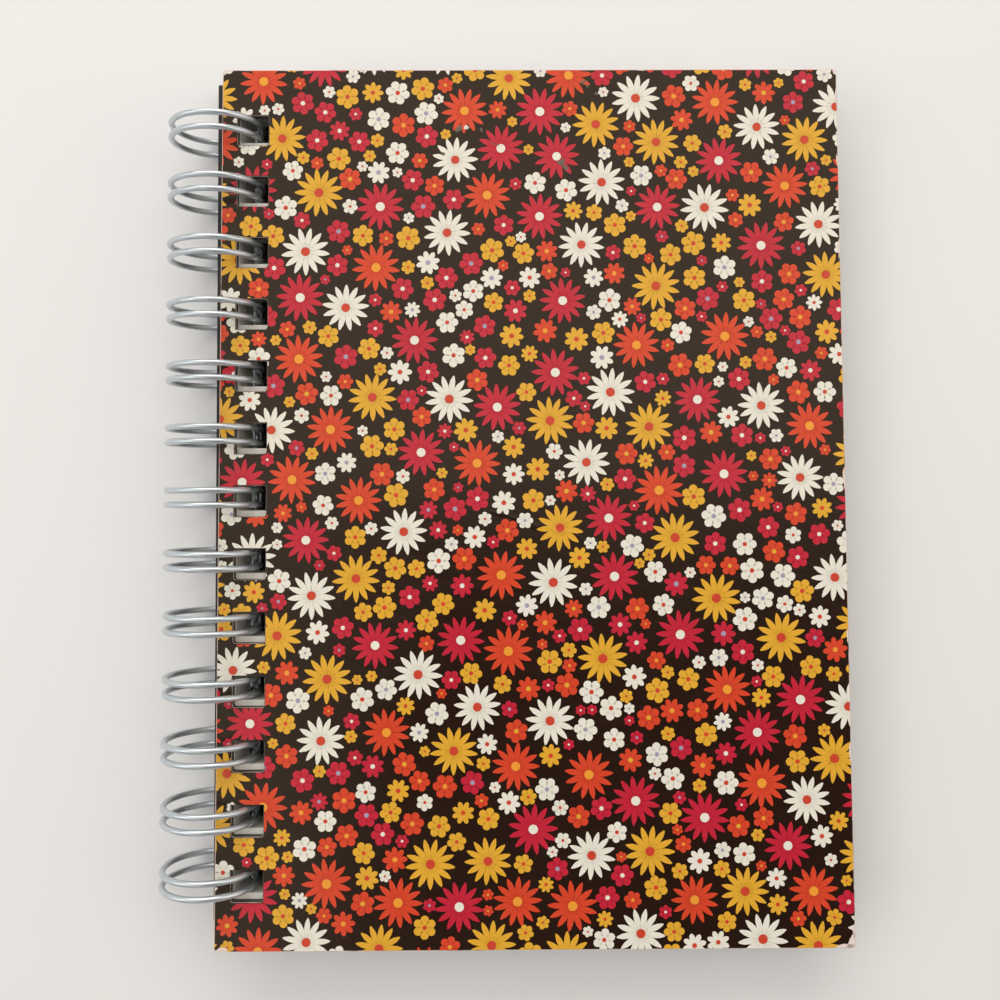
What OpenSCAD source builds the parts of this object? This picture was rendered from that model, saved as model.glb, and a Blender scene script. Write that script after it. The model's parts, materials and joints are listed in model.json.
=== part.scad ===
// Twin-loop wire-bound notebook: two punched cover boards, a block of pages and one bent wire.
// Millimetres. +X runs from the spine to the fore-edge, +Y up the cover and +Z up.
// The closed book lies on its back cover, and the origin is the middle of its footprint.

/* [Covers] */
// Width of each cover board, from spine edge to fore-edge
cover_w = 127; // [100:1:220]
// Length of each cover board, along the spine
cover_l = 177.8; // [127:0.1:300]
// Thickness of each cover board
board_t = 2; // [1:0.1:3]
// Corner radius of each cover board
cover_corner_r = 0.4; // [0.2:0.1:2.5]

/* [Pages] */
// Thickness of the block of pages
block_t = 9.05; // [5:0.05:11]
// How far the pages stop short of the covers at the head and at the tail
page_end_inset = 2.9; // [0:0.1:6]
// How much narrower the pages are than the covers
page_fore_inset = 5; // [4:0.1:10]
// How much further from the spine the lowest page lies than the top page
page_lean = 1.5; // [0:0.1:1.8]
// Flat strip past the holes where the lowest pages lie on the roots of the wire
relief_land = 2; // [0.5:0.1:6]
// Width over which the lowest pages bend down from the roots to the back cover
relief_run = 16; // [6:0.5:40]

/* [Punching] */
// Spacing of the holes along the spine
pitch = 12.7; // [10:0.1:16]
// Width of a hole, across the spine
hole_w = 6.4; // [6.2:0.1:8]
// Length of a hole, along the spine
hole_l = 6.2; // [5:0.1:8]
// Corner radius of a hole
hole_corner_r = 0.5; // [0.1:0.1:1.5]
// Strip left between a hole and the spine edge
hole_margin = 3.2; // [2.5:0.1:5]

/* [Binding wire] */
// Diameter of the wire
wire_d = 1.25; // [0.8:0.05:1.5]
// Outside diameter of a closed loop
ring_od = 19.93; // [18:0.01:23]
// Spacing of the two legs of a loop
leg_spacing = 2.94; // [2.4:0.02:3.4]
// Radius of the bend from a leg into the straight root beside it
root_bend_r = 1.4; // [1:0.05:2]
// Length of the cut root at each end of the wire
end_stub = 2.5; // [0.5:0.1:4]

/* [Fits] */
// Gap between the lowest wire and the back cover that lies over it
under_gap = 0.3; // [0.2:0.05:0.4]
// Gap between a straight root and the leaves above and below it
root_gap = 0.12; // [0.05:0.01:0.3]
// Share of the play in its holes by which each cover has slid along the wire
cover_slide = 0.75; // [0:0.05:0.8]
// Share of the play in their holes by which the pages have slid along the wire
page_slide = 0.4; // [0:0.05:0.8]
// Angle by which the back cover lies askew on the wire
back_skew = 0.25; // [0:0.05:0.25]

/* [Hidden] */
$fn = 32;
// Steps along the bend under the pages
relief_steps = 12;
// How far a cut runs past the faces that it opens
cut_past = 1;
// How far each loop's half of a root runs into the next loop's half
root_lap = 0.25;

// Radii of a closed loop: wire centre, inner side and outer side
ring_r = (ring_od - wire_d) / 2;
ring_in = ring_r - wire_d / 2;
ring_out = ring_r + wire_d / 2;

// Heights of the stacked leaves over the axis of the loops
back_low = under_gap - ring_in;
back_high = back_low + board_t;
root_z = back_high + root_gap + wire_d / 2;
relief_z = back_high + wire_d + 2 * root_gap;
page_high = back_high + block_t;
front_high = page_high + board_t;

// Play of the wire in a hole, along the spine, to each side
play = (hole_l - leg_spacing - wire_d) / 2;
// Number of loops, with about a pitch left at the head and at the tail
loops = round(cover_l / pitch) - 1;
// Radius of the tip of a loop, and where the straight roots start to each side of it
tip_r = leg_spacing / 2;
bend_out = tip_r + root_bend_r;

// Place where a circle round the axis crosses a height
function reach(r, z) = sqrt(r * r - z * z);
// Slide of a page away from the spine, by its height in the block
function slide(z) = page_lean * (block_t - z) / block_t;
// Height of least size between two heights
function nearest(low, high) = low * high < 0 ? 0 : min(abs(low), abs(high));
// Middle of the wire where it passes through a leaf that lies between two heights
function crossing(low, high) =
    (reach(ring_in, max(abs(low), abs(high))) + reach(ring_out, nearest(low, high))) / 2;
// Place of one loop along the spine
function loop_y(i) = (i - (loops - 1) / 2) * pitch;

// Middle of the row of holes from the spine edge, and in each leaf
hole_mid = hole_margin + hole_w / 2;
front_hole_x = crossing(page_high, front_high);
page_hole_x = crossing(relief_z, page_high);
back_hole_x = crossing(back_low, back_high);

// Slope of the walls of the page holes
lean_angle = atan(page_lean / block_t);

// Angle left open between the ends of a loop, with a sine of 44/125 and a cosine of 117/125
open_angle = atan2(44, 117);
// Turn of the wire round the axis that brings its roots to their height
root_angle = asin(root_z / norm([ring_r, root_bend_r]));
wire_turn = root_angle - open_angle + atan(root_bend_r / ring_r);

// Slope at which the leaves lie, with the loops and the back cover's fore-edge on the table
back_far_x = back_hole_x + (cover_w - hole_mid) * cos(back_skew) + cover_l / 2 * sin(back_skew);
lie = asin(ring_out / norm([back_far_x, back_low])) - atan(-back_low / back_far_x);

// Middle of the footprint, seen from the axis of the loops
front_far_x = (front_hole_x + cover_w - hole_mid) * cos(lie) + front_high * sin(lie);
head_y = play * cover_slide + cover_l / 2 * cos(back_skew) + (cover_w - hole_mid) * sin(back_skew);
tail_y = -play * cover_slide - cover_l / 2;
axis_x = (ring_out - front_far_x) / 2;
axis_y = -(head_y + tail_y) / 2;

module in_place() {
    translate([axis_x, axis_y, ring_out])
        rotate([0, lie, 0])
            children();
}

module rounded_rect(w, l, r) {
    square([w - 2 * r, l], center = true);
    square([w, l - 2 * r], center = true);
    for (x = [-1, 1], y = [-1, 1])
        translate([x * (w / 2 - r), y * (l / 2 - r)])
            circle(r = r);
}

module hole_row(w = hole_w) {
    for (i = [0 : loops - 1])
        translate([0, loop_y(i)])
            rounded_rect(w, hole_l, hole_corner_r);
}

// A cover board with the middle of its row of holes on the origin
module cover_board() {
    linear_extrude(board_t)
        difference() {
            translate([cover_w / 2 - hole_mid, 0])
                rounded_rect(cover_w, cover_l, cover_corner_r);
            hole_row();
        }
}

module front_cover() {
    color("#3a2a26")
        in_place()
            translate([front_hole_x, -play * cover_slide, page_high])
                cover_board();
}

module back_cover() {
    color("#2b211f")
        in_place()
            translate([back_hole_x, play * cover_slide, back_low])
                rotate([0, 0, back_skew])
                    cover_board();
}

// Side view of the leaning pages, with the underside raised over the roots of the wire
module page_profile() {
    spine_x = -hole_mid;
    land_x = hole_w / 2 + relief_land;
    fore_x = cover_w - page_fore_inset - hole_mid;
    rise = relief_z - back_high;
    under = [
        for (i = [0 : relief_steps])
            [land_x + relief_run * i / relief_steps, rise * (1 + cos(180 * i / relief_steps)) / 2]
    ];
    outline = concat([[spine_x, rise]], under, [[fore_x, 0], [fore_x, block_t], [spine_x, block_t]]);
    polygon([for (corner = outline) [corner[0] + slide(corner[1]), corner[1]]]);
}

module page_block() {
    page_l = cover_l - 2 * page_end_inset;
    color("#e9e2d2")
        in_place()
            translate([page_hole_x, play * page_slide, back_high])
                difference() {
                    translate([0, page_l / 2, 0])
                        rotate([90, 0, 0])
                            linear_extrude(page_l)
                                page_profile();
                    translate([0, 0, block_t])
                        rotate([0, -lean_angle, 0])
                            translate([0, 0, -block_t / cos(lean_angle) - cut_past])
                                linear_extrude(block_t / cos(lean_angle) + 2 * cut_past)
                                    hole_row(hole_w * cos(lean_angle));
                }
}

// An arc of wire round +Z
module wire_arc(r, sweep) {
    rotate_extrude(angle = sweep)
        translate([r, 0])
            circle(d = wire_d);
}

// A leg of a loop, from the tip round to the open angle: two half rings that overlap
module wire_leg() {
    for (start = [180, open_angle])
        rotate([0, 0, start])
            wire_arc(ring_r, 180);
}

// Where the wire stands at an end of a loop: +X against the axis, +Y onwards and +Z outwards
module at_end(angle) {
    rotate([0, 0, angle])
        translate([ring_r, 0, 0])
            rotate([0, 90, 0])
                children();
}

// One loop: two legs, the tip that joins them, and past each leg a bend into a straight root
module wire_loop(root_lengths) {
    at_end(0)
        wire_arc(tip_r, 180);
    for (side = [0, 1])
        mirror([0, 0, side]) {
            translate([0, 0, tip_r])
                wire_leg();
            at_end(open_angle) {
                translate([-bend_out, 0, 0])
                    rotate([0, 0, -90])
                        wire_arc(root_bend_r, 90);
                translate([-bend_out, -root_bend_r, 0])
                    rotate([0, -90, 0])
                        cylinder(d = wire_d, h = root_lengths[side]);
            }
        }
}

module binding_wire() {
    shared_l = pitch / 2 - bend_out + root_lap;
    color("#aab2b9")
        in_place()
            rotate([90, 0, 0])
                rotate([0, 0, wire_turn])
                    for (i = [0 : loops - 1])
                        translate([0, 0, loop_y(i)])
                            wire_loop([i < loops - 1 ? shared_l : end_stub, i > 0 ? shared_l : end_stub]);
}

front_cover();
back_cover();
page_block();
binding_wire();
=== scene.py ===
"""Spiral notebook: two laminated boards with a floral print, punched leaves and a twin-loop wire."""

import json
import logging
import math
import random
from dataclasses import dataclass, field
from enum import Enum, IntEnum

import bmesh
import bpy
from bmesh.types import BMesh, BMFace, BMLayerItem
from bpy.types import Material, Mesh, Node, NodeSocket, NodeTree, Object
from mathutils import Matrix, Vector

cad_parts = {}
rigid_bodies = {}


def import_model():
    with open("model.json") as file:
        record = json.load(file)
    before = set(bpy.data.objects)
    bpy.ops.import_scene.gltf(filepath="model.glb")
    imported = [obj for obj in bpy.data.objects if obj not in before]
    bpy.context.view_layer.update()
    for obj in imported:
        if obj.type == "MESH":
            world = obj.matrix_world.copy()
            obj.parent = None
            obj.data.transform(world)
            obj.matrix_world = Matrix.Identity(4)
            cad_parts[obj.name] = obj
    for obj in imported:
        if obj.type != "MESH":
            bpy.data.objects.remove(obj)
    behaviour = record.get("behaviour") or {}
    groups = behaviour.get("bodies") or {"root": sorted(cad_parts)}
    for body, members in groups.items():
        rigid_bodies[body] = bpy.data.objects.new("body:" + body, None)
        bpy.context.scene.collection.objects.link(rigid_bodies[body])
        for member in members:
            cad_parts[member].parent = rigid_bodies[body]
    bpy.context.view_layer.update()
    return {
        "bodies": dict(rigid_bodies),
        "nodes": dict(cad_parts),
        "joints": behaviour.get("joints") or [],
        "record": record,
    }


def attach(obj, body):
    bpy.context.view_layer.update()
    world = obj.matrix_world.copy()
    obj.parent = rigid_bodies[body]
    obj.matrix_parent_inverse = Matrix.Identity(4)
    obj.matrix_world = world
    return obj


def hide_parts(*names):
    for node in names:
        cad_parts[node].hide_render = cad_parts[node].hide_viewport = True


MM = 0.001
# Points closer than this are one point: in metres in the row frame, and in mm on a sheet or in the stack.
MERGE_METRES = 1e-6
MERGE_MM = 1e-5
# Faces of a CAD solid that meet at less than this angle are one flat face.
FLAT_ANGLE = math.radians(1)
# Paper, board and film all bend light about as much.
PAPER_IOR = 1.45
# A Mix node's sockets share their names among its data types, so its colours are reached by number.
MIX_FACTOR, MIX_A, MIX_B = 0, 6, 7
# The print keeps its colours in this attribute, and the film over it reads them there.
INK_ATTRIBUTE = "ink"
LOG = logging.getLogger("notebook")

Point = tuple[float, float, float]


def linear(hex_colour: str) -> tuple[float, float, float, float]:
    """Turns an sRGB hex colour into linear values.

    Args:
        hex_colour: The colour, written as #RRGGBB.

    Returns:
        Red, green, blue and alpha, in linear light.
    """
    parts = [int(hex_colour[i : i + 2], 16) / 255 for i in (1, 3, 5)]
    red, green, blue = (p / 12.92 if p <= 0.04045 else ((p + 0.055) / 1.055) ** 2.4 for p in parts)
    return red, green, blue, 1.0


def scale_of(size: float) -> float:
    """Returns the scale of a noise whose features are about this many millimetres wide."""
    return 1 / (size * MM)


def add_node(tree: NodeTree, kind: str, inputs: dict | None = None, **settings: str | bool) -> Node:
    """Adds one node to a material, sets its fields and fills or links its sockets.

    Args:
        tree: The node tree that takes the node.
        kind: Blender's name of the node's type, without ShaderNode before it.
        inputs: Values, output sockets, or nodes that give their first output, by the input's name or number.
        **settings: Fields of the node itself.

    Returns:
        The new node.
    """
    node = tree.nodes.new(f"ShaderNode{kind}")
    for name, value in settings.items():
        setattr(node, name, value)
    for name, value in (inputs or {}).items():
        if isinstance(value, Node):
            value = next(output for output in value.outputs if output.enabled)
        if isinstance(value, NodeSocket):
            tree.links.new(value, node.inputs[name])
        else:
            node.inputs[name].default_value = value
    return node


def new_piece(name: str, bm: BMesh, materials: list[Material]) -> Object:
    """Turns a finished bmesh into a shown piece at the origin.

    Args:
        name: The piece's name.
        bm: The shape, in metres in the row frame. It is freed.
        materials: The piece's material slots, in order.

    Returns:
        The object.
    """
    mesh = bpy.data.meshes.new(name)
    bm.to_mesh(mesh)
    bm.free()
    for material in materials:
        mesh.materials.append(material)
    piece = bpy.data.objects.new(name, mesh)
    bpy.context.scene.collection.objects.link(piece)
    return piece


def copy_solid(frame: dict, node: str) -> BMesh:
    """Copies a CAD node's solid and joins its loose triangles.

    Args:
        node: The CAD node's name.

    Returns:
        The copy, in metres in the row frame.
    """
    bm = bmesh.new()
    bm.from_mesh(frame["nodes"][node].data)
    bmesh.ops.remove_doubles(bm, verts=bm.verts, dist=MERGE_METRES)
    return bm


def cut(bm: BMesh, geom: list, point: Point, normal: Point, drop: bool = False) -> None:
    """Cuts a shape along a plane.

    Args:
        bm: The shape, in mm.
        geom: The vertices, edges and faces that may be cut.
        point: A point of the plane.
        normal: The plane's normal.
        drop: Whether what lies on the normal's side goes.
    """
    bmesh.ops.bisect_plane(bm, geom=geom, dist=MERGE_MM, plane_co=point, plane_no=normal, clear_outer=drop)


def soften(bm: BMesh, angle: float = math.radians(35)) -> None:
    """Shades a shape smoothly and keeps the edges sharper than an angle crisp.

    Args:
        bm: The shape.
        angle: The least angle between two faces that stays a crisp edge.
    """
    for face in bm.faces:
        face.smooth = True
    for edge in bm.edges:
        edge.smooth = len(edge.link_faces) == 2 and edge.calc_face_angle() < angle


@dataclass(frozen=True)
class Stack:
    """How the closed notebook lies. Its axes run from the wire's axis to the fore-edge, the head and up."""

    lie: float = math.radians(0.7055121)
    origin: Point = (-59.58878, -0.262684, 9.965)

    def matrix(self) -> Matrix:
        """Returns the matrix that takes metres in the notebook's own axes to the row frame."""
        return Matrix.Translation(Vector(self.origin) * MM) @ Matrix.Rotation(self.lie, 4, "Y")


STACK = Stack()


@dataclass(frozen=True)
class Finish:
    """A finish, whose kinds lay their patterns on a piece's Object coordinates."""

    name: str

    def build(self) -> Material:
        """Builds the finish.

        Returns:
            The material.
        """
        material = bpy.data.materials.new(self.name)
        material.use_nodes = True
        tree = material.node_tree
        tree.nodes.clear()
        coords = add_node(tree, "TexCoord").outputs["Object"]
        shader = add_node(tree, "BsdfPrincipled", self.surface(tree, coords))
        add_node(tree, "OutputMaterial", {"Surface": shader})
        return material

    def surface(self, tree: NodeTree, coords: NodeSocket) -> dict:
        """Lays the patterns of one kind of finish.

        Args:
            tree: The material's node tree.
            coords: The Object coordinates.

        Returns:
            The inputs of the surface's shader.
        """
        raise NotImplementedError


@dataclass(frozen=True)
class Crease:
    """A shallow bent line in a cover's film, in mm from the row frame's origin."""

    x: float
    y: float
    turn: float
    half_length: float
    depth: float
    half_width: float = 0.7
    wander: float = 2.2


@dataclass(frozen=True)
class FilmLaminate(Finish):
    """Offset print under a film laminate.

    It is smooth and half glossy, with a faint orange peel, soft haze and fine scuffs. The film has yellowed a
    little, which warms what it mirrors.
    """

    colour: str = "#24110A"
    attribute: str = ""
    creases: tuple[Crease, ...] = ()
    roughness: float = 0.2
    yellowing: str = "#FFFBE1"

    def surface(self, tree: NodeTree, coords: NodeSocket) -> dict:
        """Lays the ink, the handled film over it and its creases.

        Args:
            tree: The material's node tree.
            coords: The Object coordinates.

        Returns:
            The shader's inputs, with the colour from the named attribute where there is one.
        """
        # Ink lies a little unevenly: in 9 mm clouds, and a 0.5 mm mottle that stands for a finer real one.
        clouds = add_node(tree, "TexNoise", {"Vector": coords, "Scale": scale_of(9.09), "Detail": 3.0})
        mottle = add_node(tree, "TexNoise", {"Vector": coords, "Scale": scale_of(0.5), "Detail": 2.0})
        tone = add_node(tree, "MapRange", {"Value": clouds, "To Min": 0.94, "To Max": 1.06})
        grain = add_node(tree, "MapRange", {"Value": mottle, "To Min": 0.95, "To Max": 1.05})
        shade = add_node(tree, "Math", {0: tone, 1: grain}, operation="MULTIPLY")
        if self.attribute:
            ink = add_node(tree, "Attribute", attribute_name=self.attribute).outputs["Color"]
        else:
            ink = linear(self.colour)[:3]
        coloured = add_node(tree, "VectorMath", {0: ink, "Scale": shade}, operation="SCALE")
        # Handling leaves dull smears 25 mm wide and rubbed streaks 1.4 mm wide, so the gloss isn't even.
        smears = add_node(
            tree, "TexNoise", {"Vector": coords, "Scale": scale_of(25), "Detail": 4.0, "Roughness": 0.6}
        )
        squeezed = add_node(tree, "Mapping", {"Vector": coords, "Rotation": (0, 0, 0.5), "Scale": (1, 6, 1)})
        streaks = add_node(
            tree, "TexNoise", {"Vector": squeezed, "Scale": scale_of(6 * 1.389), "Detail": 5.0}
        )
        gloss = add_node(
            tree, "MapRange",
            {
                "Value": smears, "From Min": 0.3, "From Max": 0.7,
                "To Min": self.roughness - 0.04, "To Max": self.roughness + 0.06,
            },
        )
        rubbed = add_node(
            tree, "MapRange",
            {"Value": streaks, "From Min": 0.45, "From Max": 0.75, "To Min": 0.0, "To Max": 0.06},
        )
        rough = add_node(tree, "Math", {0: gloss, 1: rubbed}, operation="ADD")
        # The board bends in 33 mm waves of its own, and the film over it shows 1.1 mm orange peel.
        waves = add_node(tree, "TexNoise", {"Vector": coords, "Scale": scale_of(33.33), "Detail": 1.0})
        bent = add_node(tree, "Bump", {"Height": waves, "Strength": 0.3, "Distance": 0.3 * MM})
        peel = add_node(tree, "TexNoise", {"Vector": coords, "Scale": scale_of(1.111), "Detail": 2.0})
        normal = add_node(
            tree, "Bump", {"Height": peel, "Strength": 0.2, "Distance": 0.05 * MM, "Normal": bent}
        )
        for crease in self.creases:
            normal = self.bend(tree, coords, crease, normal)
        return {
            "Base Color": coloured,
            "Roughness": rough,
            "IOR": PAPER_IOR,
            "Specular Tint": linear(self.yellowing),
            "Normal": normal,
        }

    @staticmethod
    def bend(tree: NodeTree, coords: NodeSocket, crease: Crease, normal: Node) -> Node:
        """Adds one wandering crease to the film's normal.

        Args:
            tree: The material's node tree.
            coords: The Object coordinates.
            crease: Where the crease runs.
            normal: The normal so far.

        Returns:
            The normal with the crease in it.
        """
        # The crease strays from a straight line in bends of 6 mm, and fades out over its outer halves.
        stray = add_node(tree, "TexNoise", {"Vector": coords, "Scale": scale_of(6.25), "Detail": 3.0})
        local = add_node(
            tree, "Mapping",
            {
                "Vector": coords, "Location": (crease.x * MM, crease.y * MM, 0),
                "Rotation": (0, 0, crease.turn),
            },
            vector_type="TEXTURE",
        )
        axes = add_node(tree, "SeparateXYZ", {"Vector": local})
        drift = add_node(
            tree, "MapRange", {"Value": stray, "To Min": -crease.wander * MM, "To Max": crease.wander * MM}
        )
        across = add_node(tree, "Math", {0: axes.outputs["Y"], 1: drift}, operation="ADD")
        apart = add_node(tree, "Math", {0: across}, operation="ABSOLUTE")
        ridge = add_node(
            tree, "MapRange",
            {
                "Value": apart, "From Min": 0.0, "From Max": crease.half_width * MM,
                "To Min": 1.0, "To Max": 0.0,
            },
            interpolation_type="SMOOTHSTEP",
        )
        along = add_node(tree, "Math", {0: axes.outputs["X"]}, operation="ABSOLUTE")
        fade = add_node(
            tree, "MapRange",
            {
                "Value": along, "From Min": 0.5 * crease.half_length * MM,
                "From Max": crease.half_length * MM, "To Min": 1.0, "To Max": 0.0,
            },
            interpolation_type="SMOOTHSTEP",
        )
        height = add_node(tree, "Math", {0: ridge, 1: fade}, operation="MULTIPLY")
        return add_node(
            tree, "Bump",
            {"Height": height, "Strength": 0.8, "Distance": crease.depth * MM, "Normal": normal},
        )


@dataclass(frozen=True)
class CutBoard(Finish):
    """The cut edge of the greyboard: matt, dark grey and fibrous in fine layers."""

    name: str = "cut_greyboard"
    core: str = "#3B3735"
    fibre: str = "#5A5550"

    def surface(self, tree: NodeTree, coords: NodeSocket) -> dict:
        """Lays the board's fibres.

        Args:
            tree: The material's node tree.
            coords: The Object coordinates.

        Returns:
            The shader's inputs.
        """
        # Board is pressed in plies of about 0.3 mm, so its fibres run in flat streaks, eight times as long.
        level = add_node(
            tree, "Mapping", {"Vector": coords, "Rotation": (0, -STACK.lie, 0), "Scale": (1, 1, 8)}
        )
        fibres = add_node(
            tree, "TexNoise",
            {"Vector": level, "Scale": scale_of(8 * 0.2778), "Detail": 5.0, "Roughness": 0.65},
        )
        mixed = add_node(
            tree, "Mix", {MIX_FACTOR: fibres, MIX_A: linear(self.core), MIX_B: linear(self.fibre)},
            data_type="RGBA",
        )
        rough = add_node(tree, "MapRange", {"Value": fibres, "To Min": 0.8, "To Max": 0.98})
        bump = add_node(tree, "Bump", {"Height": fibres, "Strength": 0.5, "Distance": 0.1 * MM})
        return {"Base Color": mixed, "Roughness": rough, "IOR": PAPER_IOR, "Normal": bump}


@dataclass(frozen=True)
class CutSheetEdge(Finish):
    """The knife-cut rim of the printed sheet: a hair of pinkish paper, with film left on it in places."""

    name: str = "cut_printed_sheet_edge"
    paper: str = "#DCC5BC"
    film: str = "#3A2823"

    def surface(self, tree: NodeTree, coords: NodeSocket) -> dict:
        """Lays the bare paper and what is left of the film.

        Args:
            tree: The material's node tree.
            coords: The Object coordinates.

        Returns:
            The shader's inputs.
        """
        # The film has chipped off most of a rim, in runs of 6 mm and more with 0.3 mm nicks at their ends.
        runs = add_node(
            tree, "TexNoise", {"Vector": coords, "Scale": scale_of(5.556), "Detail": 5.0, "Roughness": 0.65}
        )
        share = add_node(tree, "MapRange", {"Value": runs, "From Min": 0.3, "From Max": 0.46})
        mixed = add_node(
            tree, "Mix", {MIX_FACTOR: share, MIX_A: linear(self.film), MIX_B: linear(self.paper)},
            data_type="RGBA",
        )
        rough = add_node(tree, "MapRange", {"Value": share, "To Min": 0.45, "To Max": 0.85})
        bump = add_node(tree, "Bump", {"Height": share, "Strength": 0.4, "Distance": 0.04 * MM})
        return {"Base Color": mixed, "Roughness": rough, "IOR": PAPER_IOR, "Normal": bump}


@dataclass(frozen=True)
class LiningPaper(Finish):
    """Black lining paper on a cover's inner face: uncoated and matt, with a felt grain and a little rub."""

    name: str = "black_lining_paper"
    colour: str = "#1E1C1D"
    rubbed: str = "#2E2B2B"

    def surface(self, tree: NodeTree, coords: NodeSocket) -> dict:
        """Lays the paper's grain and its rub.

        Args:
            tree: The material's node tree.
            coords: The Object coordinates.

        Returns:
            The shader's inputs.
        """
        # The felt grain is 0.7 mm wide, coarser than real so that it shows, and the rub is in 14 mm patches.
        felt = add_node(
            tree, "TexNoise", {"Vector": coords, "Scale": scale_of(0.7143), "Detail": 4.0, "Roughness": 0.7}
        )
        rub = add_node(
            tree, "TexNoise", {"Vector": coords, "Scale": scale_of(14.29), "Detail": 5.0, "Roughness": 0.6}
        )
        share = add_node(tree, "MapRange", {"Value": rub, "From Min": 0.45, "From Max": 0.75})
        mixed = add_node(
            tree, "Mix", {MIX_FACTOR: share, MIX_A: linear(self.colour), MIX_B: linear(self.rubbed)},
            data_type="RGBA",
        )
        rough = add_node(tree, "MapRange", {"Value": rub, "To Min": 0.72, "To Max": 0.6})
        bump = add_node(tree, "Bump", {"Height": felt, "Strength": 0.35, "Distance": 0.06 * MM})
        return {"Base Color": mixed, "Roughness": rough, "IOR": PAPER_IOR, "Normal": bump}


@dataclass(frozen=True)
class WritingPaper(Finish):
    """Woodfree writing paper: off-white and matt, and on its cut edges painted shade: fine lines between the
    leaves over a shadow grey.
    """

    name: str = "woodfree_paper"
    sheet: str = "#EDE9E0"
    # The grey of the painted shade on the cut edges.
    shadow: str = "#A8A399"

    def surface(self, tree: NodeTree, coords: NodeSocket) -> dict:
        """Lays the sheet's tooth, and painted shade on faces that stand upright: lines between the leaves
        over a floor of shade.

        Args:
            tree: The material's node tree.
            coords: The Object coordinates.

        Returns:
            The shader's inputs.
        """
        # A leaf is 0.1 mm thick, too fine to show here, so the lines stand for two or three, 0.25 mm apart:
        # darker leaves, and painted shade in the gaps between them.
        level = add_node(
            tree, "Mapping", {"Vector": coords, "Rotation": (0, -STACK.lie, 0), "Scale": (1, 1, 60)}
        )
        lines = add_node(
            tree, "TexNoise",
            {"Vector": level, "Scale": scale_of(60 * 0.2381), "Detail": 3.0, "Roughness": 0.7},
        )
        facing = add_node(tree, "NewGeometry").outputs["True Normal"]
        axes = add_node(tree, "SeparateXYZ", {"Vector": facing})
        upright = add_node(tree, "Math", {0: axes.outputs["Z"]}, operation="ABSOLUTE")
        edge = add_node(
            tree, "MapRange",
            {"Value": upright, "From Min": 0.3, "From Max": 0.8, "To Min": 1.0, "To Max": 0.0},
        )
        # Painted shade: an upright face goes 30 to 95% of the way to the shadow grey, and never less than
        # 30%, for the shade deep in the holes and along the cut edges.
        dark = add_node(
            tree, "MapRange",
            {"Value": lines, "From Min": 0.42, "From Max": 0.72, "To Min": 0.3, "To Max": 0.95},
        )
        share = add_node(tree, "Math", {0: dark, 1: edge}, operation="MULTIPLY")
        mixed = add_node(
            tree, "Mix", {MIX_FACTOR: share, MIX_A: linear(self.sheet), MIX_B: linear(self.shadow)},
            data_type="RGBA",
        )
        # The tooth of the sheet is drawn 0.7 mm wide, coarser than real, so that it shows.
        tooth = add_node(tree, "TexNoise", {"Vector": coords, "Scale": scale_of(0.6667), "Detail": 3.0})
        felt = add_node(tree, "Bump", {"Height": tooth, "Strength": 0.25, "Distance": 0.04 * MM})
        relief = add_node(
            tree, "Bump", {"Height": share, "Strength": 0.7, "Distance": 0.12 * MM, "Normal": felt},
            invert=True,
        )
        rough = add_node(tree, "MapRange", {"Value": tooth, "To Min": 0.78, "To Max": 0.92})
        return {"Base Color": mixed, "Roughness": rough, "IOR": PAPER_IOR, "Normal": relief}


@dataclass(frozen=True)
class CoatedWire(Finish):
    """Drawn steel wire under silver nylon: satin, with a soft bright line along it and an uneven coat."""

    name: str = "nylon_coated_steel_wire"
    silver: str = "#D5DBDF"
    worn: str = "#BCC3C8"
    metallic: float = 0.88
    roughness: float = 0.31

    def surface(self, tree: NodeTree, coords: NodeSocket) -> dict:
        """Lays the coat's thin patches and its flake.

        Args:
            tree: The material's node tree.
            coords: The Object coordinates.

        Returns:
            The shader's inputs.
        """
        # The coat is thinner in places, in patches of about 3 mm, and has a 0.3 mm flake.
        patches = add_node(tree, "TexNoise", {"Vector": coords, "Scale": scale_of(3.03), "Detail": 3.0})
        flake = add_node(tree, "TexNoise", {"Vector": coords, "Scale": scale_of(0.303), "Detail": 1.0})
        mixed = add_node(
            tree, "Mix", {MIX_FACTOR: patches, MIX_A: linear(self.silver), MIX_B: linear(self.worn)},
            data_type="RGBA",
        )
        rough = add_node(
            tree, "MapRange",
            {
                "Value": patches, "From Min": 0.3, "From Max": 0.7,
                "To Min": self.roughness - 0.04, "To Max": self.roughness + 0.06,
            },
        )
        bump = add_node(tree, "Bump", {"Height": flake, "Strength": 0.15, "Distance": 0.03 * MM})
        return {"Base Color": mixed, "Metallic": self.metallic, "Roughness": rough, "Normal": bump}


@dataclass(frozen=True)
class Tabletop(Finish):
    """A plain pale painted table: matt, with a faint unevenness."""

    name: str = "pale_painted_table"
    colour: str = "#EEEEEF"
    shade: str = "#E9E8E8"
    roughness: float = 0.7

    def surface(self, tree: NodeTree, coords: NodeSocket) -> dict:
        """Lays the paint's unevenness, in clouds 110 mm wide.

        Args:
            tree: The material's node tree.
            coords: The Object coordinates.

        Returns:
            The shader's inputs.
        """
        clouds = add_node(tree, "TexNoise", {"Vector": coords, "Scale": scale_of(111.1), "Detail": 4.0})
        mixed = add_node(
            tree, "Mix", {MIX_FACTOR: clouds, MIX_A: linear(self.colour), MIX_B: linear(self.shade)},
            data_type="RGBA",
        )
        return {"Base Color": mixed, "Roughness": self.roughness}


class Ink(Enum):
    """The print's colours: one for a flower's petals and one for its centre. Worn spots have the last two."""

    CREAM = "#EAE5D8"
    GOLD = "#E3AA36"
    CRIMSON = "#C4243B"
    VERMILION = "#D8462B"
    RUST = "#CC4430"
    APRICOT = "#EE9D38"
    LILAC = "#A59BB4"
    PAPER = "#E6D6CE"
    SCUFF = "#6B6058"


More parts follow.
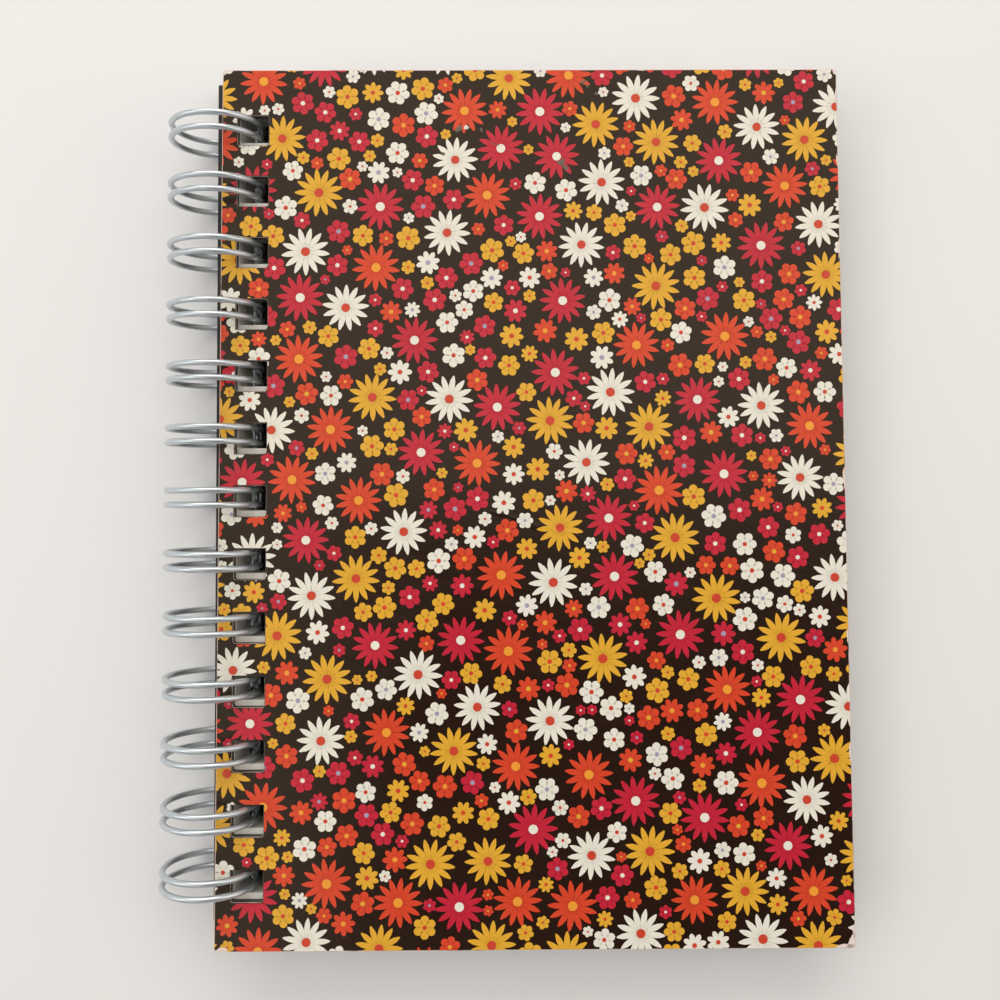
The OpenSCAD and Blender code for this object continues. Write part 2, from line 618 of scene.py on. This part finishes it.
# The inks that a flower's centre may have with each ink of its petals. A daisy takes the first.
CENTRES = {
    Ink.CREAM: (Ink.RUST, Ink.RUST, Ink.LILAC),
    Ink.GOLD: (Ink.RUST, Ink.VERMILION, Ink.RUST),
    Ink.CRIMSON: (Ink.CREAM, Ink.CREAM, Ink.LILAC),
    Ink.VERMILION: (Ink.APRICOT, Ink.APRICOT, Ink.GOLD),
}


class Level(IntEnum):
    """The order in which the print's parts lie over each other, from the board up."""

    DISC = 1
    PETALS = 2
    CENTRE = 3
    RUB = 5


@dataclass(frozen=True)
class Flower:
    """One flower's make: petals of an oval that narrows to the middle, over a small disc, round a centre.

    Lengths are shares of the flower's radius.
    """

    petals: int
    start: float
    half_width: float
    narrowing: float
    pointing: float
    disc: float
    centre: float
    points: int = 10
    centre_points: int = 12

    def template(self, name: str) -> Mesh:
        """Makes the flower with a radius of 1. Its centre has material number 1, and each part its own level.

        Args:
            name: The mesh's name.

        Returns:
            The flat mesh, with the levels as heights.
        """
        bm = bmesh.new()
        half = (1 - self.start) / 2
        petal = bmesh.ops.create_circle(bm, cap_ends=True, segments=self.points, radius=1)["verts"]
        for vert in petal:
            inward = (1 - vert.co.x) / 2
            tip = 1 - self.pointing * max(0.0, vert.co.x) ** 2
            width = self.half_width * (1 - self.narrowing * inward) * tip
            vert.co = Vector((self.start + half + vert.co.x * half, vert.co.y * width, Level.PETALS))
        bmesh.ops.spin(
            bm, geom=petal + list(bm.edges) + list(bm.faces), cent=(0, 0, 0), axis=(0, 0, 1),
            angle=2 * math.pi * (self.petals - 1) / self.petals, steps=self.petals - 1, use_duplicate=True,
        )
        flat = Matrix.Translation((0, 0, Level.DISC))
        bmesh.ops.create_circle(bm, cap_ends=True, segments=self.petals * 2, radius=self.disc, matrix=flat)
        before = set(bm.faces)
        raised = Matrix.Translation((0, 0, Level.CENTRE))
        bmesh.ops.create_circle(
            bm, cap_ends=True, segments=self.centre_points, radius=self.centre, matrix=raised
        )
        for face in bm.faces:
            face.material_index = 0 if face in before else 1
            if face.normal.z < 0:
                face.normal_flip()
        mesh = bpy.data.meshes.new(name)
        bm.to_mesh(mesh)
        bm.free()
        return mesh


class Motif(Enum):
    """The flowers that the print is made of."""

    DAISY = Flower(
        13, start=0.1, half_width=0.148, narrowing=0.35, pointing=0.5, disc=0.34, centre=0.19, points=14
    )
    ASTER = Flower(8, start=0.2, half_width=0.29, narrowing=0.4, pointing=0.3, disc=0.55, centre=0.2)
    BLOSSOM = Flower(6, start=0.2, half_width=0.38, narrowing=0.1, pointing=0.0, disc=0.68, centre=0.19)


@dataclass(frozen=True)
class Bloom:
    """One printed flower: its place on the sheet in mm, its radius, turn, motif and two inks."""

    x: float
    y: float
    radius: float
    turn: float
    motif: Motif
    petal: Ink
    centre: Ink


@dataclass(frozen=True)
class Chip:
    """A spot where the film is rubbed grey or torn through to the paper, in mm on the sheet."""

    x: float
    y: float
    radius: float
    stretch: float = 1.0
    turn: float = 0.0
    ink: Ink = Ink.PAPER


@dataclass(frozen=True)
class Sheet:
    """Where a printed sheet's corner lies, in mm in the notebook's own axes, and how the sheet is turned."""

    corner: Point
    pivot: Point = (0.0, 0.0, 0.0)
    skew: float = 0.0
    roll: float = 0.0

    def matrix(self) -> Matrix:
        """Finds the sheet's place.

        Returns:
            The matrix that takes metres on the sheet to the row frame.
        """
        there = Matrix.Translation(Vector(self.pivot) * MM)
        back = Matrix.Translation(Vector(self.pivot) * -MM)
        skewed = there @ Matrix.Rotation(self.skew, 4, "Z") @ back
        corner = Matrix.Translation(Vector(self.corner) * MM)
        return STACK.matrix() @ skewed @ corner @ Matrix.Rotation(self.roll, 4, "X")


@dataclass
class FloralPrint:
    """A scattered flower print on one cover, cut by its edges and its row of holes. Sizes are in mm.

    An overhang is the share of a radius by which a flower's middle may lie beyond the sheet, and the reach is
    the share of a daisy's radius that smaller flowers keep out of.
    """

    name: str
    node: str
    body: str
    sheet: Sheet
    laminate: Material
    seed: int
    ink_step: float
    chips: tuple[Chip, ...]
    width: float = 127.0
    length: float = 177.8
    border: float = 0.16
    hole_x: float = 6.4
    hole_pitch: float = 12.7
    holes: int = 13
    hole_width: float = 6.4
    hole_length: float = 6.2
    daisy_radius: float = 4.9
    daisy_sizes: tuple[float, float] = (0.96, 1.03)
    daisy_spacing: float = 9.45
    daisy_overhang: float = 0.8
    daisy_reach: float = 0.94
    daisies: int = 150
    daisy_tries: int = 9000
    bare_drift: float = -0.75
    blossom_radii: tuple[float, ...] = (2.4, 2.2, 2.0, 1.7, 1.4, 1.15)
    blossom_sizes: tuple[float, float] = (0.94, 1.06)
    blossom_overhang: float = 0.7
    blossom_tries: int = 7500
    least_aster: float = 1.5
    aster_share: float = 0.25
    ink_shares: tuple[int, ...] = (26, 28, 24, 22)
    gap: float = -0.08
    cell: float = 7.5
    rub_points: int = 11
    rub_sizes: tuple[float, float] = (0.5, 1.15)
    blooms: list[Bloom] = field(default_factory=list)

    def scatter(self) -> None:
        """Lays the flowers out: big daisies first, and then smaller flowers wherever they fit."""
        rng = random.Random(self.seed)
        self.scatter_daisies(rng)
        self.scatter_blossoms(rng)

    @staticmethod
    def drift(x: float, y: float) -> float:
        """Tells how thickly the daisies are strewn at a place on the sheet.

        Args:
            x: The place across the sheet, in mm.
            y: The place along the sheet, in mm.

        Returns:
            A value from -2, where the ground stays bare, to 2.
        """
        # Waves 60 and 47 mm long cross the sheet, and waves 145 and 107 mm long bend them.
        return math.sin(x / 9.5 + 1.7 * math.sin(y / 23)) + math.sin(y / 7.5 + 1.3 * math.sin(x / 17))

    def scatter_daisies(self, rng: random.Random) -> None:
        """Lays the daisies out in loose drifts, each in another ink than the two nearest to it.

        Args:
            rng: The seeded source of chance.
        """
        over = self.daisy_radius * self.daisy_overhang
        for _ in range(self.daisy_tries):
            if len(self.blooms) >= self.daisies:
                break
            x = rng.uniform(-over, self.width + over)
            y = rng.uniform(-over, self.length + over)
            if self.drift(x, y) < self.bare_drift:
                continue
            if all(math.hypot(x - other.x, y - other.y) > self.daisy_spacing for other in self.blooms):
                near = sorted(self.blooms, key=lambda other: math.hypot(x - other.x, y - other.y))[:2]
                free = [ink for ink in CENTRES if all(ink is not other.petal for other in near)]
                petal = rng.choice(free)
                turn = rng.uniform(0, math.tau)
                radius = self.daisy_radius * rng.uniform(*self.daisy_sizes)
                self.blooms.append(Bloom(x, y, radius, turn, Motif.DAISY, petal, CENTRES[petal][0]))

    def scatter_blossoms(self, rng: random.Random) -> None:
        """Lays the smaller flowers out in the room that the daisies leave, from the largest size down.

        Args:
            rng: The seeded source of chance.
        """
        taken: dict[tuple[int, int], list[tuple[float, float, float]]] = {}
        for daisy in self.blooms:
            spot = (daisy.x, daisy.y, self.daisy_radius * self.daisy_reach)
            taken.setdefault((int(daisy.x // self.cell), int(daisy.y // self.cell)), []).append(spot)
        for radius in self.blossom_radii:
            over = radius * self.blossom_overhang
            for _ in range(self.blossom_tries):
                x = rng.uniform(-over, self.width + over)
                y = rng.uniform(-over, self.length + over)
                size = radius * rng.uniform(*self.blossom_sizes)
                column, row = int(x // self.cell), int(y // self.cell)
                around = [(column + i, row + j) for i in (-1, 0, 1) for j in (-1, 0, 1)]
                near = [spot for home in around for spot in taken.get(home, ())]
                if any(math.hypot(x - spot[0], y - spot[1]) < spot[2] + size + self.gap for spot in near):
                    continue
                petal = rng.choices(list(CENTRES), weights=self.ink_shares)[0]
                centre = rng.choice(CENTRES[petal])
                aster = rng.random() < self.aster_share and radius > self.least_aster
                taken.setdefault((column, row), []).append((x, y, size))
                turn = rng.uniform(0, math.tau)
                motif = Motif.ASTER if aster else Motif.BLOSSOM
                self.blooms.append(Bloom(x, y, size, turn, motif, petal, centre))

    def build(self) -> Object:
        """Builds the print as flat shapes a few hundredths of a millimetre over the board.

        Returns:
            The print's object.
        """
        self.scatter()
        bm = bmesh.new()
        inks = bm.loops.layers.float_color.new(INK_ATTRIBUTE)
        templates = {motif: motif.value.template(motif.name.lower()) for motif in Motif}
        for bloom in self.blooms:
            self.stamp(bm, inks, bloom, templates[bloom.motif])
        for template in templates.values():
            bpy.data.meshes.remove(template)
        self.rub(bm, inks)
        self.trim(bm)
        bmesh.ops.transform(bm, matrix=self.sheet.matrix() @ Matrix.Scale(MM, 4), verts=bm.verts)
        piece = new_piece(self.name, bm, [self.laminate])
        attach(piece, self.body)
        return piece

    def stamp(self, bm: BMesh, inks: BMLayerItem, bloom: Bloom, template: Mesh) -> None:
        """Adds one flower to the print.

        Args:
            bm: The print so far, in mm on the sheet.
            inks: The layer of its colours.
            bloom: The flower.
            template: The flower's motif, with a radius of 1.
        """
        verts, faces = len(bm.verts), len(bm.faces)
        bm.from_mesh(template)
        bm.verts.ensure_lookup_table()
        bm.faces.ensure_lookup_table()
        size = Matrix.Diagonal((bloom.radius, bloom.radius, self.ink_step, 1))
        spot = Matrix.Translation((bloom.x, bloom.y, 0)) @ Matrix.Rotation(bloom.turn, 4, "Z") @ size
        bmesh.ops.transform(bm, matrix=spot, verts=bm.verts[verts:])
        for face in bm.faces[faces:]:
            colour = linear((bloom.centre if face.material_index else bloom.petal).value)
            face.material_index = 0
            for loop in face.loops:
                loop[inks] = colour

    def rub(self, bm: BMesh, inks: BMLayerItem) -> None:
        """Adds the spots where the film is rubbed or torn.

        Args:
            bm: The print so far, in mm on the sheet.
            inks: The layer of its colours.
        """
        rng = random.Random(self.seed + 1)
        for chip in self.chips:
            spot = Matrix.Translation((chip.x, chip.y, Level.RUB * self.ink_step))
            turned = Matrix.Rotation(chip.turn, 4, "Z") @ Matrix.Diagonal((chip.stretch, 1, 1, 1))
            made = bmesh.ops.create_circle(bm, cap_ends=True, segments=self.rub_points, radius=chip.radius)
            for vert in made["verts"]:
                vert.co *= rng.uniform(*self.rub_sizes)
            bmesh.ops.transform(bm, matrix=spot @ turned, verts=made["verts"])
            face = made["verts"][0].link_faces[0]
            face.normal_update()
            if face.normal.z < 0:
                face.normal_flip()
            for loop in face.loops:
                loop[inks] = linear(chip.ink.value)

    def trim(self, bm: BMesh) -> None:
        """Cuts the print at the cover's edges and out of its holes.

        Args:
            bm: The print, in mm on the sheet.
        """
        for point, outward in (
            ((self.border, 0, 0), (-1, 0, 0)),
            ((self.width - self.border, 0, 0), (1, 0, 0)),
            ((0, self.border, 0), (0, -1, 0)),
            ((0, self.length - self.border, 0), (0, 1, 0)),
        ):
            cut(bm, bm.verts[:] + bm.edges[:] + bm.faces[:], point, outward, drop=True)
        half_x = self.hole_width / 2 + self.border
        half_y = self.hole_length / 2 + self.border
        for number in range(self.holes):
            y = self.length / 2 + (number - (self.holes - 1) / 2) * self.hole_pitch
            for point, outward in (
                ((self.hole_x - half_x, 0, 0), (1, 0, 0)),
                ((self.hole_x + half_x, 0, 0), (1, 0, 0)),
                ((0, y - half_y, 0), (0, 1, 0)),
                ((0, y + half_y, 0), (0, 1, 0)),
            ):
                near = self.faces_near(bm, y)
                edges = {edge for face in near for edge in face.edges}
                verts = {vert for face in near for vert in face.verts}
                cut(bm, [*verts, *edges, *near], point, outward)
            inside = [
                face
                for face in self.faces_near(bm, y)
                if abs(face.calc_center_median().x - self.hole_x) < half_x
                and abs(face.calc_center_median().y - y) < half_y
            ]
            bmesh.ops.delete(bm, geom=inside, context="FACES")

    def faces_near(self, bm: BMesh, y: float) -> list[BMFace]:
        """Finds the print's faces that may reach a hole.

        Args:
            bm: The print, in mm on the sheet.
            y: The hole's middle along the spine.

        Returns:
            The faces.
        """
        reach_x, reach_y = self.hole_width / 2 + self.daisy_radius, self.hole_length / 2 + self.daisy_radius
        return [
            face
            for face in bm.faces
            if abs(face.verts[0].co.x - self.hole_x) < reach_x and abs(face.verts[0].co.y - y) < reach_y
        ]


class BoardFace(IntEnum):
    """The finishes of a cover board, by the number of their material slot."""

    FILM = 0
    CORE = 1
    LINING = 2
    RIM = 3


@dataclass
class Cover:
    """A laminated cover board: its CAD solid with the cut edges slightly eased, in four finishes.

    Sizes are in mm. A face's finish follows from the cosine between it and the printed face.
    """

    node: str
    body: str
    outward: float
    laminate: Material
    core: Material
    lining: Material
    rim: Material
    easing: float = 0.18
    rim_depth: float = 2.0
    sharp: float = math.radians(60)
    crisp: float = math.radians(15)
    film_from: float = 0.98
    film_from_at_hole: float = 0.6
    rim_from: float = 0.1
    lining_to: float = -0.9

    def build(self, frame: dict) -> Object:
        """Builds the board in place of its CAD node.


        Returns:
            The board's object.
        """
        bm = copy_solid(frame, self.node)
        bmesh.ops.dissolve_limit(bm, angle_limit=FLAT_ANGLE, verts=bm.verts, edges=bm.edges)
        rims = [e for e in bm.edges if len(e.link_faces) == 2 and e.calc_face_angle() > self.sharp]
        bmesh.ops.bevel(
            bm, geom=rims, offset=self.easing * MM, offset_type="OFFSET", segments=2, profile=0.5,
            affect="EDGES", clamp_overlap=False, material=-1,
        )
        self.finish_faces(bm)
        soften(bm, self.crisp)
        piece = new_piece(f"{self.node}_board", bm, [self.laminate, self.core, self.lining, self.rim])
        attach(piece, self.body)
        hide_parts(self.node)
        return piece

    def finish_faces(self, bm: BMesh) -> None:
        """Gives each face its finish. The film turns down into the holes, and the outer rims show the sheet.

        Args:
            bm: The board, in metres in the row frame.
        """
        up = Vector((math.sin(STACK.lie), 0, math.cos(STACK.lie))) * self.outward
        low_x, high_x = min(vert.co.x for vert in bm.verts), max(vert.co.x for vert in bm.verts)
        low_y, high_y = min(vert.co.y for vert in bm.verts), max(vert.co.y for vert in bm.verts)
        inset = self.rim_depth * MM
        for face in bm.faces:
            facing = face.normal.dot(up)
            middle = face.calc_center_median()
            at_hole = low_x + inset < middle.x < high_x - inset and low_y + inset < middle.y < high_y - inset
            if facing > (self.film_from_at_hole if at_hole else self.film_from):
                face.material_index = BoardFace.FILM
            elif facing > self.rim_from:
                face.material_index = BoardFace.RIM
            else:
                face.material_index = BoardFace.LINING if facing < self.lining_to else BoardFace.CORE


@dataclass
class PageBlock:
    """The punched leaves as one block, whose cut edges step in and out from bundle to bundle. In mm."""

    paper: Material
    node: str = "page_block"
    bottom: float = -6.415
    top: float = 2.635
    bundles: int = 17
    border_stray: float = 0.3
    split: float = 0.03
    unevenness: float = 0.16
    lean: float = 1.5
    edge_reach: float = 0.01
    seed: int = 7

    def build(self, frame: dict) -> Object:
        """Builds the block in place of its CAD node.


        Returns:
            The block's object.
        """
        rng = random.Random(self.seed)
        bm = copy_solid(frame, self.node)
        bmesh.ops.transform(bm, matrix=Matrix.Scale(1 / MM, 4) @ STACK.matrix().inverted(), verts=bm.verts)
        bmesh.ops.dissolve_limit(bm, angle_limit=FLAT_ANGLE, verts=bm.verts, edges=bm.edges)
        step = (self.top - self.bottom) / self.bundles
        borders = [
            self.bottom + step * (n + rng.uniform(-self.border_stray, self.border_stray))
            for n in range(1, self.bundles)
        ]
        for border in borders:
            for height in (border - self.split / 2, border + self.split / 2):
                cut(bm, bm.verts[:] + bm.edges[:] + bm.faces[:], (0, 0, height), (0, 0, 1))
        self.stagger(bm, borders, rng)
        bmesh.ops.transform(bm, matrix=STACK.matrix() @ Matrix.Scale(MM, 4), verts=bm.verts)
        soften(bm)
        piece = new_piece("page_stack", bm, [self.paper])
        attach(piece, "binding")
        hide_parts(self.node)
        return piece

    def stagger(self, bm: BMesh, borders: list[float], rng: random.Random) -> None:
        """Draws each bundle's outer edges in by a little of its own.

        Args:
            bm: The block, in mm in the notebook's own axes.
            borders: The heights between the bundles.
            rng: The seeded source of chance.
        """
        slope = self.lean / (self.top - self.bottom)
        fore = max(vert.co.x + vert.co.z * slope for vert in bm.verts)
        head = max(vert.co.y for vert in bm.verts)
        foot = min(vert.co.y for vert in bm.verts)
        inward = [[rng.uniform(0, self.unevenness) for _ in range(3)] for _ in range(len(borders) + 1)]
        for vert in bm.verts:
            fore_shift, head_shift, foot_shift = inward[sum(vert.co.z > border for border in borders)]
            if vert.co.x + vert.co.z * slope > fore - self.edge_reach:
                vert.co.x -= fore_shift
            if vert.co.y > head - self.edge_reach:
                vert.co.y -= head_shift
            elif vert.co.y < foot + self.edge_reach:
                vert.co.y += foot_shift


@dataclass(frozen=True)
class SoftLamp:
    """A soft box: its name, place, aim, width and height in metres, its power in watts and its colour."""

    name: str
    place: Point
    aim: Point
    width: float
    height: float
    power: float
    colour: str = "#FFFCF6"

    def hang(self) -> None:
        """Hangs the lamp so that it faces its aim."""
        lamp = bpy.data.lights.new(self.name, "AREA")
        lamp.shape = "RECTANGLE"
        lamp.size = self.width
        lamp.size_y = self.height
        lamp.energy = self.power
        lamp.color = linear(self.colour)[:3]
        holder = bpy.data.objects.new(self.name, lamp)
        holder.location = self.place
        holder.rotation_mode = "QUATERNION"
        holder.rotation_quaternion = (Vector(self.aim) - Vector(self.place)).to_track_quat("-Z", "Y")
        bpy.context.scene.collection.objects.link(holder)


@dataclass
class Studio:
    """The pale table, the soft lamps round the notebook and the camera over it.

    Sizes are in metres, and the camera's place is in mm in the notebook's own axes. The ceiling panel and the
    left panel leave the near right of the ceiling dark, so the film's haze ends half way down the cover.
    """

    table_half: float = 1.0
    room: str = "#FFFEFC"
    world_light: float = 0.1
    horizon_light: float = 0.8
    horizon_heights: tuple[float, float] = (0.08, 0.4)
    lamps: tuple[SoftLamp, ...] = (
        SoftLamp("ceiling_panel", (0.0, 0.64, 0.9), (0.0, 0.64, 0.0), 2.4, 1.33, 9.2, "#FFFAF3"),
        SoftLamp("left_panel", (-0.68, -0.52, 0.9), (-0.68, -0.52, 0.0), 1.04, 0.98, 2.4, "#FFFAF3"),
        SoftLamp("window_light", (-0.15, 1.5, 0.93), (0.0, 0.0, 0.0), 1.8, 0.9, 14.4),
        SoftLamp("right_light", (1.1, 0.0, 0.7), (0.0, 0.0, 0.0), 1.0, 0.8, 4.0, "#FFF7E8"),
        SoftLamp("left_light", (-1.1, 0.0, 0.7), (0.0, 0.0, 0.0), 1.0, 0.8, 3.4, "#FFFFFF"),
        SoftLamp("near_light", (0.0, -1.1, 0.7), (0.0, 0.0, 0.0), 1.0, 0.8, 0.6),
    )
    camera_place: Point = (57.97116, 0.73857, 207.84551)
    camera_tilt: Point = (-0.0524, 0.00528, 0.00405)
    lens: float = 36.108
    sensor: float = 36.0
    shift_y: float = -0.06
    clip_start: float = 0.01

    def build(self) -> None:
        """Builds the table, the light and the camera."""
        self.lay_table()
        self.light_room()
        for lamp in self.lamps:
            lamp.hang()
        self.aim_camera()

    def lay_table(self) -> None:
        """Lays a flat table under the notebook."""
        bm = bmesh.new()
        bmesh.ops.create_grid(bm, x_segments=1, y_segments=1, size=self.table_half)
        new_piece("table_top", bm, [Tabletop().build()])

    def light_room(self) -> None:
        """Makes the room pale round the horizon and dim overhead, between the lamps."""
        world = bpy.data.worlds.new("soft_room")
        world.use_nodes = True
        tree = world.node_tree
        tree.nodes.clear()
        towards = add_node(tree, "TexCoord").outputs["Generated"]
        axes = add_node(tree, "SeparateXYZ", {"Vector": towards})
        low, high = self.horizon_heights
        strength = add_node(
            tree, "MapRange",
            {
                "Value": axes.outputs["Z"], "From Min": low, "From Max": high,
                "To Min": self.horizon_light, "To Max": self.world_light,
            },
            interpolation_type="SMOOTHSTEP",
        )
        room = add_node(tree, "Background", {"Color": linear(self.room), "Strength": strength})
        add_node(tree, "OutputWorld", {"Surface": room})
        bpy.context.scene.world = world

    def aim_camera(self) -> None:
        """Puts the camera over the notebook, at the photograph's place and angle."""
        turn_x, turn_y, turn_z = self.camera_tilt
        about_z, about_y = Matrix.Rotation(turn_z, 4, "Z"), Matrix.Rotation(turn_y, 4, "Y")
        to_camera = about_z @ about_y @ Matrix.Rotation(turn_x, 4, "X")
        camera = bpy.data.cameras.new("overhead")
        camera.sensor_width = self.sensor
        camera.lens = self.lens
        camera.shift_y = self.shift_y
        camera.clip_start = self.clip_start
        holder = bpy.data.objects.new("overhead", camera)
        holder.matrix_world = (
            STACK.matrix() @ Matrix.Translation(Vector(self.camera_place) * MM) @ to_camera.transposed()
        )
        bpy.context.scene.collection.objects.link(holder)
        bpy.context.scene.camera = holder


FRONT_SHEET = Sheet(corner=(2.0953, -89.65375, 4.635))
BACK_SHEET = Sheet(
    corner=(-1.4538, 89.65375, -8.415), pivot=(4.9462, 0.75375, 0.0), skew=math.radians(0.25), roll=math.pi
)
CREASES = (
    Crease(x=-12.0, y=42.5, turn=0.12, half_length=12.0, depth=0.05),
    Crease(x=6.5, y=-6.0, turn=-0.3, half_length=12.0, depth=0.06),
)
# Both covers are rubbed through to the paper along the fore-edge.
EDGE_WEAR = tuple(
    Chip(126.75, y, 0.3, stretch, math.pi / 2)
    for y, stretch in ((172.0, 8.0), (158.5, 5.0), (140.0, 7.0), (93.5, 9.0), (61.0, 6.0), (38.0, 7.0))
)
# The front cover's corners are worn, most of all the one at the foot of the fore-edge.
CORNER_WEAR = (
    Chip(126.6, 0.5, 2.2, 1.3, 0.7),
    Chip(124.6, 0.2, 0.9, 2.6, 0.0),
    Chip(126.8, 3.4, 0.7, 2.2, 1.45),
    Chip(1.2, 0.15, 0.8, 2.6, 0.0),
    Chip(126.7, 177.2, 0.6, 1.4, 1.2),
    Chip(0.4, 177.3, 0.5, 1.2, 0.4),
)
# Its head has a few nicks.
HEAD_NICKS = (
    Chip(28.6, 177.7, 0.45, 2.2, 0.0),
    Chip(86.4, 177.7, 0.3, 2.6, 0.0),
    Chip(30.4, 178.0, 0.6, 1.6, 0.3),
)
# Its film is scuffed grey in places near the head, and torn through once.
SCUFFS = (
    Chip(69.7, 158.3, 0.75, 1.3, 0.6, Ink.SCUFF),
    Chip(70.6, 157.2, 0.5, 1.8, 2.1, Ink.SCUFF),
    Chip(48.6, 165.3, 0.7, 1.5, 0.9, Ink.SCUFF),
    Chip(50.4, 165.6, 0.5, 1.2, 0.2),
    Chip(45.5, 160.1, 0.35, 1.4, 0.5, Ink.SCUFF),
    Chip(53.4, 165.1, 0.3, 2.0, 1.9, Ink.SCUFF),
    Chip(74.4, 175.1, 0.4, 2.2, 0.5, Ink.SCUFF),
    Chip(75.3, 174.3, 0.3, 1.6, 2.4, Ink.SCUFF),
    Chip(56.2, 162.1, 0.12, 9.0, -0.25, Ink.SCUFF),
    Chip(77.2, 172.6, 0.35, 1.3, 0.0, Ink.SCUFF),
)


def main() -> None:
    """Builds the notebook's pieces in order and reports each one."""
    logging.basicConfig(level=logging.INFO, format="%(message)s")
    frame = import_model()
    bpy.context.scene.view_settings.view_transform = "Standard"

    core, lining, rim = CutBoard().build(), LiningPaper().build(), CutSheetEdge().build()
    for node, body, outward, creases in (
        ("front_cover", "front", 1.0, CREASES),
        ("back_cover", "back", -1.0, ()),
    ):
        laminate = FilmLaminate(f"film_over_black_print_{body}", creases=creases).build()
        board = Cover(node, body, outward, laminate, core, lining, rim).build(frame)
        LOG.info("%s: %d faces", board.name, len(board.data.polygons))

    wear = EDGE_WEAR + CORNER_WEAR + HEAD_NICKS + SCUFFS
    for name, body, node, sheet, seed, creases, ink_step, chips in (
        ("front_print", "front", "front_cover", FRONT_SHEET, 41, CREASES, 0.012, wear),
        ("back_print", "back", "back_cover", BACK_SHEET, 58, (), 0.003, EDGE_WEAR),
    ):
        film = f"film_over_colour_print_{body}"
        laminate = FilmLaminate(film, attribute=INK_ATTRIBUTE, creases=creases).build()
        floral = FloralPrint(name, node, body, sheet, laminate, seed, ink_step, chips)
        piece = floral.build()
        LOG.info("%s: %d flowers, %d faces", name, len(floral.blooms), len(piece.data.polygons))

    block = PageBlock(WritingPaper().build()).build(frame)
    LOG.info("%s: %d faces", block.name, len(block.data.polygons))

    wire = frame["nodes"]["binding_wire"]
    wire_finish = CoatedWire().build()
    for holder in wire.material_slots:
        holder.material = wire_finish
    LOG.info("%s: CAD mesh in %s", wire.name, wire_finish.name)

    Studio().build()


if __name__ == "__main__":
    main()
